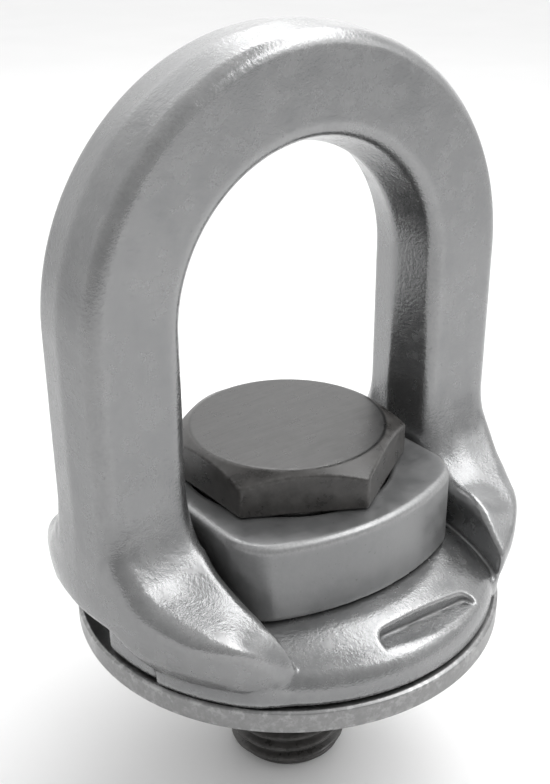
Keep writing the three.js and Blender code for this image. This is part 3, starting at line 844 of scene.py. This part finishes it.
def black_oxide(name, tone, face_tone=None):
    """Oiled black oxide on machined steel; with face_tone, a flat top with machining lines."""
    n = Nodes(name)
    patch = n.noise(2.6, 4.0, 0.6)
    grain = n.noise(0.35, 3.0, 0.6)
    colour = n.mix(n.ramp(patch, 0, 1, 0.35, 0.65), grey(tone * 0.7, 0.06), grey(tone * 1.5, 0.05))
    nicks = n.ramp(n.noise(0.8, 2.0), 0.0, 1.0, 0.45, 0.65)
    # lighter nicks on convex edges: partly wear, partly a painted highlight
    wear_and_highlight = n.math("MULTIPLY", n.attribute("edge"), nicks, clamp=True)
    colour = n.mix(n.math("MULTIPLY", wear_and_highlight, 0.35), colour, grey(0.10, 0.04))
    rough = n.ramp(patch, 0.26, 0.38, 0.35, 0.65)
    metallic = 0.0
    normal = n.bump(grain, 0.006)
    if face_tone is not None:
        lines = n.noise(1.0, 4.0, 0.7, n.stretched((0.12, 1.5, 1.0), (0, 0, math.radians(64))))
        facing = n.add("ShaderNodeSeparateXYZ")
        n.put(facing.inputs[0], n.add("ShaderNodeNewGeometry").outputs["Normal"])
        metallic = n.ramp(facing.outputs["Z"], 0, 1, 0.93, 0.98)
        dark = grey(face_tone * 0.88, 0.01)
        light = grey(face_tone * 1.1, 0.01)
        colour = n.mix(metallic, colour, n.mix(n.ramp(lines, 0, 1, 0.3, 0.7), dark, light))
        normal = n.bump(n.math("MULTIPLY", lines, metallic), 0.012, normal)
    return n.surface(colour, metallic, rough, normal, IOR=1.5)


def ground_steel(name, tone, roughness):
    """Ground or turned bearing metal: fine rings round the axis."""
    n = Nodes(name)
    lines = n.noise(0.5, 3.0, 0.6, n.stretched((0.15, 0.15, 6.0)))
    patch = n.noise(3, 3.0)
    colour = n.mix(n.ramp(patch, 0, 1, 0.35, 0.65), grey(tone * 0.9), grey(tone * 1.08))
    rough = n.ramp(lines, roughness * 0.8, roughness * 1.3, 0.3, 0.7)
    return n.surface(colour, 1.0, rough, n.bump(lines, 0.004))


def bronze():
    n = Nodes("bearing_bronze")
    patch = n.noise(2.5, 4.0)
    colour = n.mix(n.ramp(patch, 0, 1, 0.35, 0.65), (0.42, 0.25, 0.10, 1), (0.62, 0.41, 0.19, 1))
    return n.surface(colour, 1.0, n.ramp(patch, 0.28, 0.45, 0.3, 0.7), n.bump(n.noise(0.4, 3.0), 0.008))


def rubber():
    n = Nodes("seal_rubber")
    grain = n.noise(0.3, 3.0)
    colour = n.mix(grain, grey(0.012), grey(0.03))
    return n.surface(colour, 0.0, n.ramp(grain, 0.5, 0.8), n.bump(grain, 0.01))


def polymer():
    n = Nodes("glide_polymer")
    patch = n.noise(3, 3.0)
    colour = n.mix(patch, (0.62, 0.60, 0.53, 1), (0.74, 0.72, 0.65, 1))
    return n.surface(colour, 0.0, n.ramp(patch, 0.35, 0.55), n.bump(n.noise(0.5, 2.0), 0.006))


def studio_floor_material():
    n = Nodes("studio_floor")
    haze = n.noise(60, 2.0)
    colour = n.mix(haze, grey(0.80), grey(0.84))
    return n.surface(colour, 0.0, 0.7, n.bump(n.noise(2, 2.0), 0.02))


def dress(piece, material, body, slot, *nodes):
    """Gives a new piece its material, body and the CAD nodes that it stands for; the slot argument is
    not used.
    """
    piece.data.materials.clear()
    piece.data.materials.append(material)
    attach(piece, body)
    if nodes:
        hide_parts(*nodes)
    return piece


# ---- the pieces ----

FINE = 0.45

steel = forged_metal("forged_steel", 0.245, grain_depth=0.062, gloss=0.22, metallic=0.82)
collar_steel = forged_metal("collar_steel", 0.245, grain_depth=0.022, gloss=0.40, metallic=0.72)

eye = forged("eye", eye_solid, EYE_LOW - 0.4, EYE_HIGH + 0.6, FINE)
dress(eye, steel, "eye", "forged_steel", "eye_ring")

collar = forged("collar", collar_solid, COLLAR_LOW - 0.3, COLLAR_HIGH + 0.3, 0.45)
dress(collar, collar_steel, "eye", "forged_steel", "bearing_collar")

disc_profile = softened([
    (DISC_BORE_R, DISC_RECESS_H), (DISC_RECESS_R, DISC_RECESS_H), (DISC_RECESS_R, 0.0),
    (DISC_HIGH[0] - 0.1, 0.0), (DISC_HIGH[0], 0.4), (DISC_HIGH[0], DISC_HIGH[2] - 0.3),
    (DISC_HIGH[0] - 0.5, DISC_HIGH[2]), (DISC_BORE_R, DISC_HIGH[2]),
], DISC_CORNER, 4)
disc = turned("disc", disc_profile, 256)
dress(disc, disc_metal(), "seat", "disc_steel", "base_disc")

head_low = np.array([-HEAD_REACH, -HEAD_REACH, HEAD_Z])
head_high = np.array([HEAD_REACH, HEAD_REACH, BOLT_HIGH[2]])
head = forged("bolt_head", head_solid, head_low, head_high, 0.3)
dress(head, black_oxide("bolt_head_black", 0.034, 0.065), "bolt", "black_bolt", "centre_bolt")

shank = bolt_shank()
dress(shank, black_oxide("bolt_thread_black", 0.034), "bolt", "black_bolt", "centre_bolt")

hardened = ground_steel("hardened_bush", 0.42, 0.28)
race_steel = ground_steel("race_steel", 0.62, 0.14)
nut_steel = ground_steel("nut_steel", 0.35, 0.34)
spring_steel = ground_steel("spring_steel", 0.16, 0.38)
ball_steel = ground_steel("ball_steel", 0.70, 0.08)
bearing_bronze = bronze()

lathed = [
    ("bush", bush_outline(), hardened, "seat", "hardened_steel", "flanged_bush"),
    ("race_above", race_outline(*UPPER_RACE, 1), race_steel, "seat", "bearing_steel", "upper_race"),
    ("race_below", race_outline(*LOWER_RACE, -1), race_steel, "eye", "bearing_steel", "lower_race"),
    ("liner", band(*LINER), bearing_bronze, "eye", "bronze", "collar_liner"),
    ("glide", band(*GLIDE_RING), polymer(), "eye", "glide_polymer", "glide_ring"),
]
for name, outline, material, body, slot, node in lathed:
    dress(turned(name, softened(outline, 0.2, 2), 144), material, body, slot, node)

seal_z = box_mm("base_seal")[0][2] + SEAL_SECTION_R
seal_outline = [(SEAL_R + SEAL_SECTION_R * math.cos(t), seal_z + SEAL_SECTION_R * math.sin(t))
                for t in np.arange(24) * TURN / 24]
dress(turned("seal", seal_outline, 144), rubber(), "eye", "seal_rubber", "base_seal")

cage_low, cage_high = box_mm("ball_cage")
cage = forged("cage", cage_solid, cage_low - 0.2, cage_high + 0.2, 0.3)
dress(cage, bearing_bronze, "ball_train", "bronze", "ball_cage")

nut = forged("ring_nut", nut_solid, NUT_LOW - 0.3, NUT_HIGH + 0.3, 0.35)
dress(nut, nut_steel, "eye", "hardened_steel", "collar_nut")

snap_low, snap_high = box_mm("disc_snap_ring")
snap_solid = split_ring(*SNAP_RING, snap_low[2], snap_high[2], half_gap=1.6, corner=0.1)
snap = forged("snap_ring", snap_solid, snap_low - 0.2, snap_high + 0.2, 0.25)
dress(snap, spring_steel, "seat", "spring_steel", "disc_snap_ring")

keeper_low, keeper_high = box_mm("bolt_keeper_ring")
keeper_solid = split_ring(*KEEPER_RING, keeper_low[2], keeper_high[2], half_gap=1.0, corner=0.5)
keeper = forged("keeper_ring", keeper_solid, keeper_low - 0.2, keeper_high + 0.2, 0.25)
dress(keeper, spring_steel, "bolt", "spring_steel", "bolt_keeper_ring")

for i in range(1, BALL_COUNT + 1):
    ball = bearing_ball(f"bearing_ball_{i:02d}", f"ball_{i:02d}")
    dress(ball, ball_steel, "ball_train", "bearing_steel", f"ball_{i:02d}")

# ---- floor, light and camera ----


def studio_floor():
    """A plain floor that the part stands on with the end of its bolt."""
    bpy.ops.mesh.primitive_plane_add(size=6, location=(0, 0, BOLT_LOW[2] * MM))
    floor = bpy.context.object
    floor.name = "studio_floor"
    floor.data.materials.append(studio_floor_material())


LIT_POINT = Vector((0, 0, 0.035))


def softbox(name, direction, distance, size, power):
    """A rectangular lamp in the given direction from the lit point, facing it."""
    light = bpy.data.lights.new(name, "AREA")
    light.shape = "RECTANGLE"
    light.size, light.size_y = size
    light.energy = power
    lamp = bpy.data.objects.new(name, light)
    lamp.location = LIT_POINT + Vector(direction).normalized() * distance
    lamp.rotation_euler = (LIT_POINT - lamp.location).to_track_quat("-Z", "Y").to_euler()
    bpy.context.scene.collection.objects.link(lamp)


# the room's grey from its dim side (0) to its bright side (1)
BRIGHT_SIDE = (0.72, 0.60, 0.35)
ROOM_STRENGTH = 2.0
ROOM = [(0.03, 0.26), (0.25, 0.33), (0.5, 0.47), (0.68, 0.54), (0.90, 0.60), (1.0, 0.90)]


def studio_world():
    """A pale room, brightest behind the object on the right."""
    world = bpy.data.worlds.new("studio")
    bpy.context.scene.world = world
    world.use_nodes = True
    tree = world.node_tree
    place = tree.nodes.new("ShaderNodeTexCoord")
    toward = tree.nodes.new("ShaderNodeVectorMath")
    toward.operation = "DOT_PRODUCT"
    toward.inputs[1].default_value = BRIGHT_SIDE
    tree.links.new(place.outputs["Generated"], toward.inputs[0])
    spread = tree.nodes.new("ShaderNodeMapRange")
    spread.inputs["From Min"].default_value = -1.0
    tree.links.new(toward.outputs["Value"], spread.inputs["Value"])
    ramp = tree.nodes.new("ShaderNodeValToRGB")
    tree.links.new(spread.outputs["Result"], ramp.inputs["Fac"])
    stops = ramp.color_ramp.elements
    stops[0].position, stops[0].color = ROOM[0][0], (*[ROOM[0][1]] * 3, 1)
    stops[1].position, stops[1].color = ROOM[-1][0], (*[ROOM[-1][1]] * 3, 1)
    for position, glow in ROOM[1:-1]:
        stops.new(position).color = (glow, glow, glow, 1)
    tree.links.new(ramp.outputs["Color"], tree.nodes["Background"].inputs["Color"])
    tree.nodes["Background"].inputs["Strength"].default_value = ROOM_STRENGTH


CAMERA_AZIMUTH = math.radians(-37.87)
CAMERA_PITCH = math.radians(25.865)
CAMERA_REACH = 176.63 * MM
CAMERA_HEIGHT = 125.93 * MM
SENSOR_HEIGHT = 36
LENS = 53.4765306
LENS_SHIFT = -0.0161352041


def camera():
    """The photograph's view: from the front left, looking down, with the axis a little off centre."""
    data = bpy.data.cameras.new("camera")
    data.sensor_fit = "VERTICAL"
    data.sensor_height = SENSOR_HEIGHT
    data.lens = LENS
    data.shift_x = LENS_SHIFT
    data.clip_start = 0.01
    cam = bpy.data.objects.new("camera", data)
    side, ahead = math.sin(CAMERA_AZIMUTH), math.cos(CAMERA_AZIMUTH)
    cam.location = (CAMERA_REACH * side, -CAMERA_REACH * ahead, CAMERA_HEIGHT)
    cam.rotation_euler = (math.pi / 2 - CAMERA_PITCH, 0, CAMERA_AZIMUTH)
    bpy.context.scene.collection.objects.link(cam)
    bpy.context.scene.camera = cam


studio_floor()
studio_world()
softbox("key", (0.51, 0.0, 0.86), 0.45, (0.80, 0.20), 1.9)
softbox("right", (0.60, -0.60, 0.55), 0.50, (0.34, 0.26), 0.30)
softbox("back", (0.10, 0.70, 0.70), 0.50, (0.34, 0.24), 0.20)
camera()
bpy.context.scene.view_settings.view_transform = "Standard"
